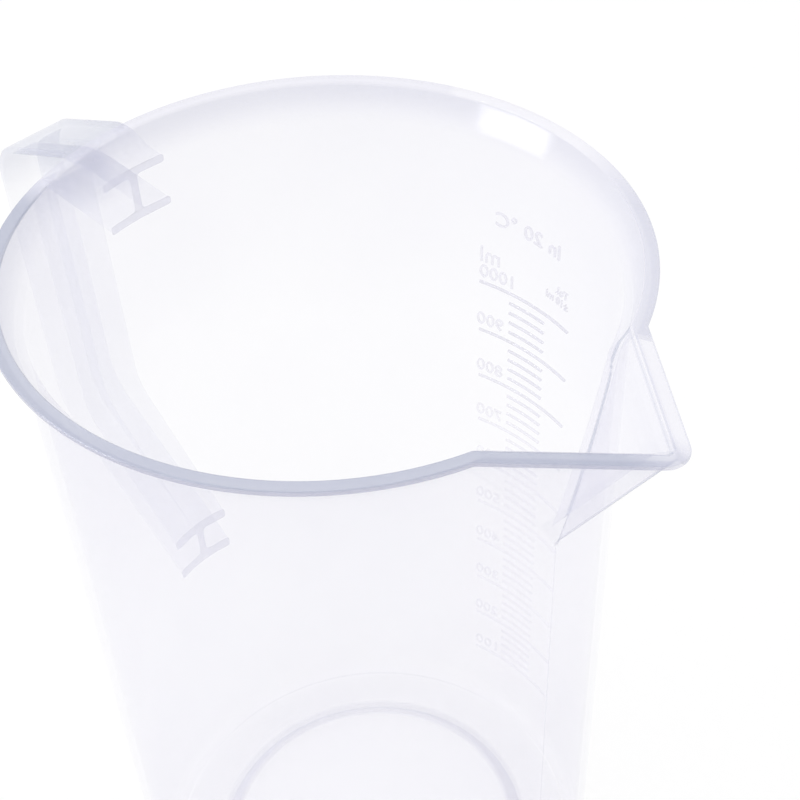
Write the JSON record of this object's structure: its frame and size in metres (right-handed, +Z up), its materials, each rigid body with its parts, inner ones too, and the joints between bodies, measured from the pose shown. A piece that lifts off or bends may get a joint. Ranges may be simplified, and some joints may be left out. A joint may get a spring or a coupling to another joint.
{
  "type": "measuring jug",
  "caption": "Tapered plastic measuring jug with a straight-sided V spout, a flared rim lip, an I-section strap handle and a raised volume scale on one side of the wall",
  "frame": {"origin": "on the standing plane, half-way between the nose of the spout and the palm face of the grip; the vessel's own axis stands 6.5 mm from it towards the spout", "axes": "+Z up through the mouth, +X towards the spout with the handle at -X, +Y to the side that carries the scale"},
  "size_m": [0.1626, 0.1122, 0.176],
  "materials": {
    "polypropylene": "translucent natural polypropylene, as moulded, satin gloss"
  },
  "bodies": {
    "root": {"vessel_wall": "polypropylene", "base": "polypropylene", "rim_collar": "polypropylene", "pouring_spout": "polypropylene", "handle_outer_flange": "polypropylene", "handle_web": "polypropylene", "handle_inner_flange": "polypropylene"}
  },
  "joints": []
}
